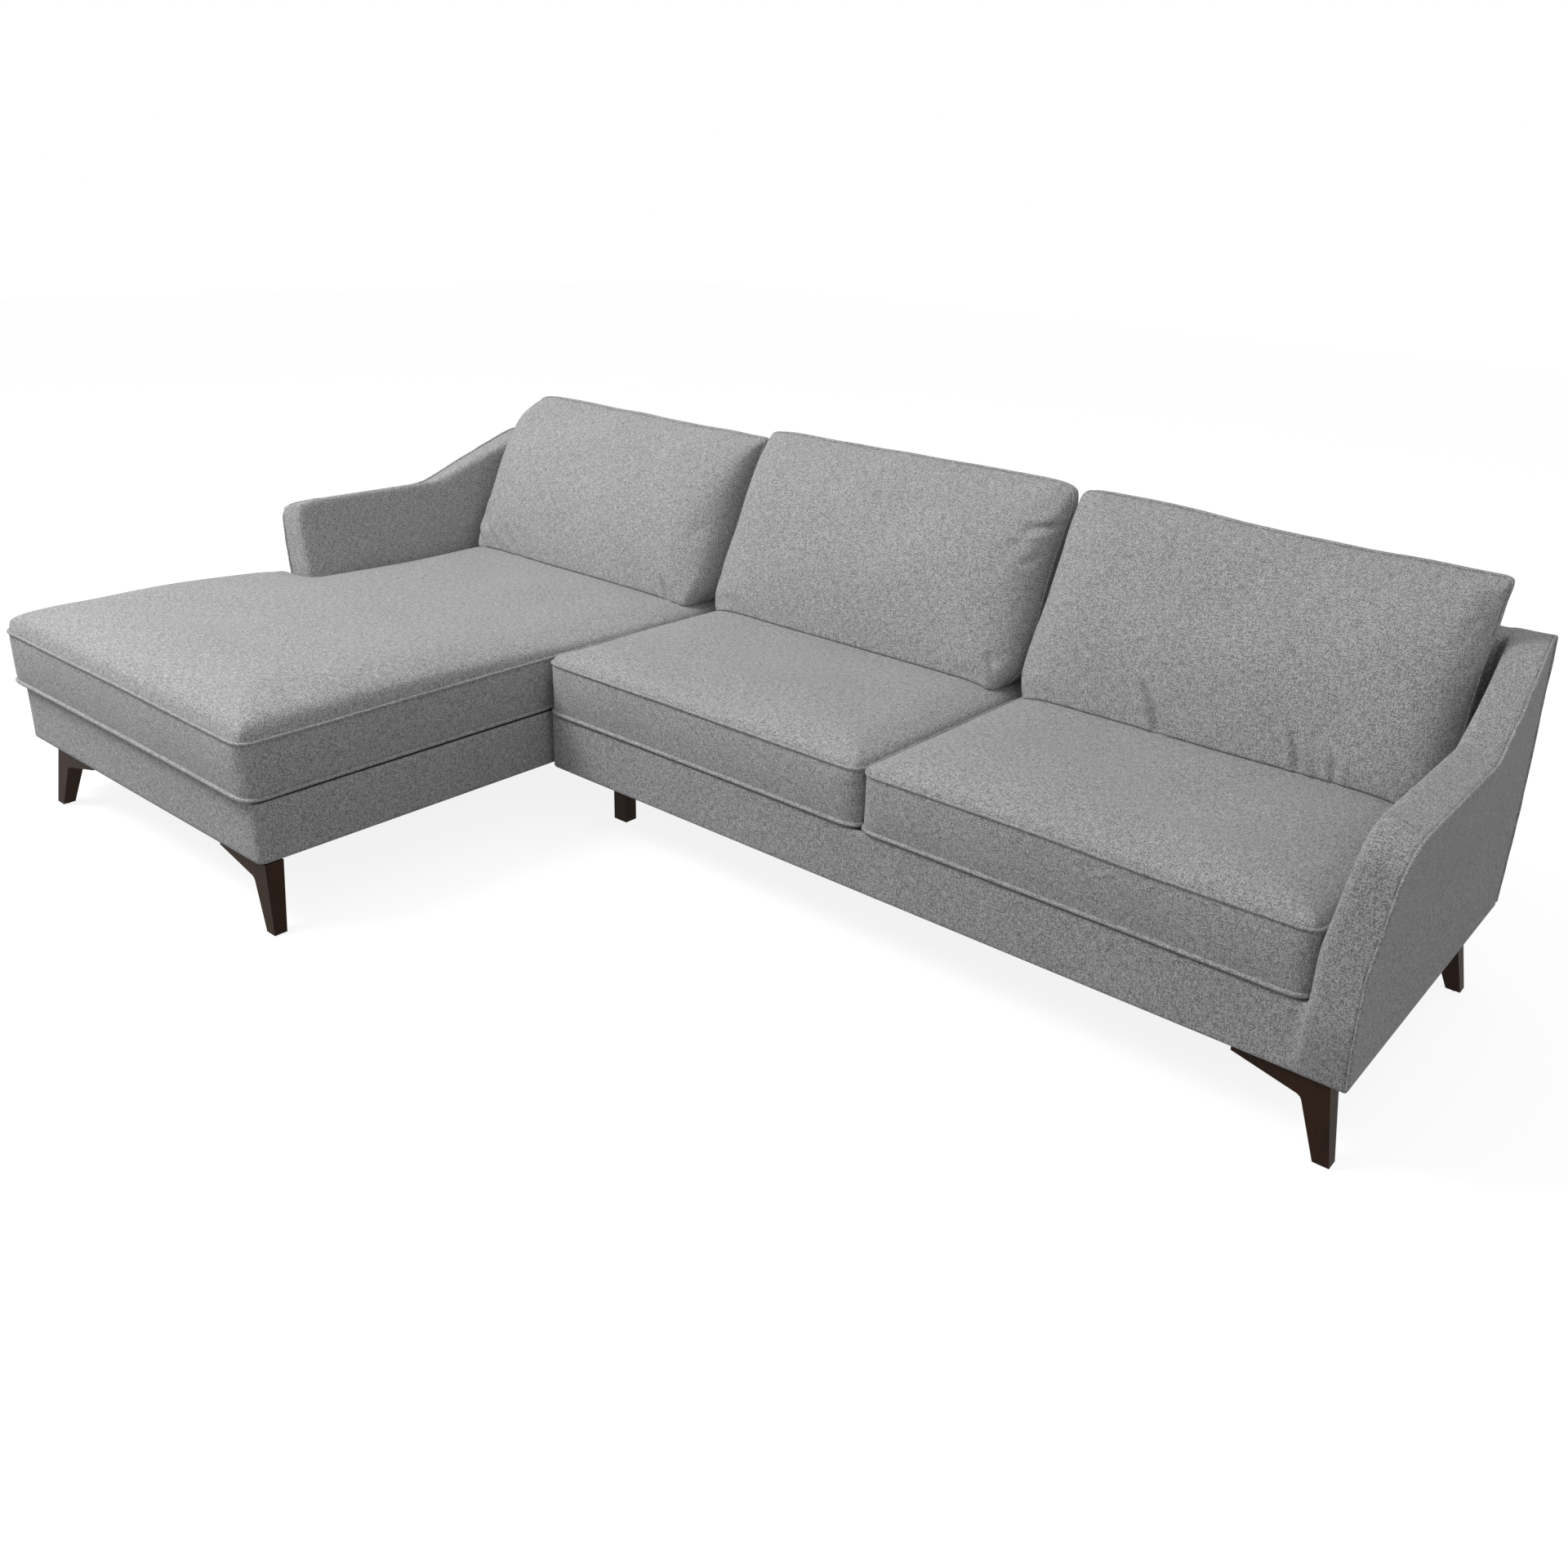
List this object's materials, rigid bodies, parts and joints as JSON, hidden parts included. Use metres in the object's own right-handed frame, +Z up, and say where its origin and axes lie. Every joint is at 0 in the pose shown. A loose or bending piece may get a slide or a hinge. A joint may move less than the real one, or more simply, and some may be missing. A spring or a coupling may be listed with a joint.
{
  "type": "corner sofa",
  "caption": "Corner sofa: a chaise module and a loveseat module with flared sweeping arms, loose seat and back cushions, and winged tapered wooden legs.",
  "frame": {"origin": "on the floor, under the middle of the whole sofa's box", "axes": "+X to the right as seen from the front, the front faces -Y with the chaise at -X, +Z up"},
  "size_m": [3.075, 1.64, 0.886],
  "materials": {
    "upholstery": "melange weave",
    "leg_wood": "dark stain, satin",
    "frame_wood": "sawn",
    "plywood": "raw",
    "steel": "zinc plated",
    "glide_plastic": "matte",
    "webbing": "woven strap",
    "deck_cloth": "plain weave",
    "dust_cloth": "non-woven"
  },
  "bodies": {
    "loveseat": {"arm_right_board": "plywood", "arm_right_cover": "upholstery", "arm_right_foot_rail": "frame_wood", "leg_loveseat_front_left": "leg_wood", "leg_loveseat_front_right": "leg_wood", "leg_loveseat_rear_left": "leg_wood", "leg_loveseat_rear_right": "leg_wood", "loveseat_back_cover": "upholstery", "loveseat_back_posts": "frame_wood", "loveseat_back_top_rail": "frame_wood", "loveseat_base_cover": "upholstery", "loveseat_centre_rail": "frame_wood", "loveseat_connectors": "steel", "loveseat_corner_blocks": "frame_wood", "loveseat_deck": "deck_cloth", "loveseat_dust_cover": "dust_cloth", "loveseat_front_rail": "frame_wood", "loveseat_glides": "glide_plastic", "loveseat_left_rail": "frame_wood", "loveseat_leg_blocks": "frame_wood", "loveseat_leg_bolts": "steel", "loveseat_rear_rail": "frame_wood", "loveseat_right_rail": "frame_wood", "loveseat_webbing": "webbing"},
    "chaise": {"arm_left_board": "plywood", "arm_left_cover": "upholstery", "arm_left_foot_rail": "frame_wood", "chaise_back_cover": "upholstery", "chaise_back_posts": "frame_wood", "chaise_back_top_rail": "frame_wood", "chaise_base_cover": "upholstery", "chaise_connectors": "steel", "chaise_corner_blocks": "frame_wood", "chaise_cross_rail": "frame_wood", "chaise_deck": "deck_cloth", "chaise_dust_cover": "dust_cloth", "chaise_front_rail": "frame_wood", "chaise_glides": "glide_plastic", "chaise_left_rail": "frame_wood", "chaise_leg_block": "frame_wood", "chaise_leg_bolts": "steel", "chaise_rear_rail": "frame_wood", "chaise_right_rail": "frame_wood", "chaise_webbing": "webbing", "leg_chaise_front_left": "leg_wood", "leg_chaise_front_right": "leg_wood", "leg_chaise_rear_left": "leg_wood", "leg_chaise_rear_right": "leg_wood"},
    "chaise_seat": {"chaise_seat_cushion": "upholstery"},
    "seat_left": {"seat_cushion_left": "upholstery"},
    "seat_right": {"seat_cushion_right": "upholstery"},
    "back_left": {"back_cushion_left": "upholstery"},
    "back_middle": {"back_cushion_middle": "upholstery"},
    "back_right": {"back_cushion_right": "upholstery"}
  },
  "joints": [
    {"name": "chaise_lift_off", "type": "slide", "parent": "loveseat", "child": "chaise", "axis": [0, 0, 1], "range_m": [0, 0.045]},
    {"name": "chaise_seat_slide", "type": "slide", "parent": "chaise", "child": "chaise_seat", "axis": [0, -1, 0], "range_m": [0, 1.45]},
    {"name": "seat_left_slide", "type": "slide", "parent": "loveseat", "child": "seat_left", "axis": [0, -1, 0], "range_m": [0, 0.7]},
    {"name": "seat_right_slide", "type": "slide", "parent": "loveseat", "child": "seat_right", "axis": [0, -1, 0], "range_m": [0, 0.7]},
    {"name": "back_left_lift", "type": "slide", "parent": "chaise", "child": "back_left", "axis": [0, 0, 1], "range_m": [0, 0.45]},
    {"name": "back_middle_lift", "type": "slide", "parent": "loveseat", "child": "back_middle", "axis": [0, 0, 1], "range_m": [0, 0.45]},
    {"name": "back_right_lift", "type": "slide", "parent": "loveseat", "child": "back_right", "axis": [0, 0, 1], "range_m": [0, 0.45]}
  ]
}
